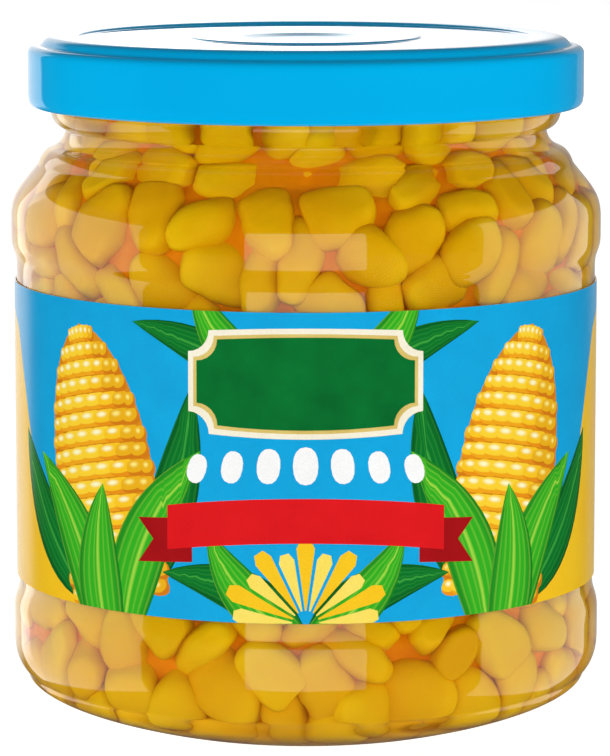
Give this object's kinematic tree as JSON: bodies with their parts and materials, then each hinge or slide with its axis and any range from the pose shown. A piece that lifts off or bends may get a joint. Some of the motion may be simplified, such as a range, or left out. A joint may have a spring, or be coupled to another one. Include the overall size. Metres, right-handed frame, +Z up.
{
  "type": "jar of sweet corn",
  "caption": "Shut round glass jar filled with sweet corn kernels, with a blue twist-off metal lid and a printed paper label round its straight panel.",
  "frame": {"origin": "centre of the foot, on the surface the jar stands on", "axes": "+Z up along the axis of the jar, -Y towards the front of the label"},
  "size_m": [0.0908, 0.0908, 0.1047],
  "materials": {
    "glass": "clear, smooth moulded glass",
    "lid_lacquer": "gloss blue lacquer on tinplate",
    "label_paper": "varnished printed paper",
    "corn": "moist yellow kernels, a little translucent"
  },
  "bodies": {
    "root": {"glass_jar": "glass", "lid": "lid_lacquer", "label": "label_paper", "sweet_corn": "corn"}
  },
  "joints": []
}
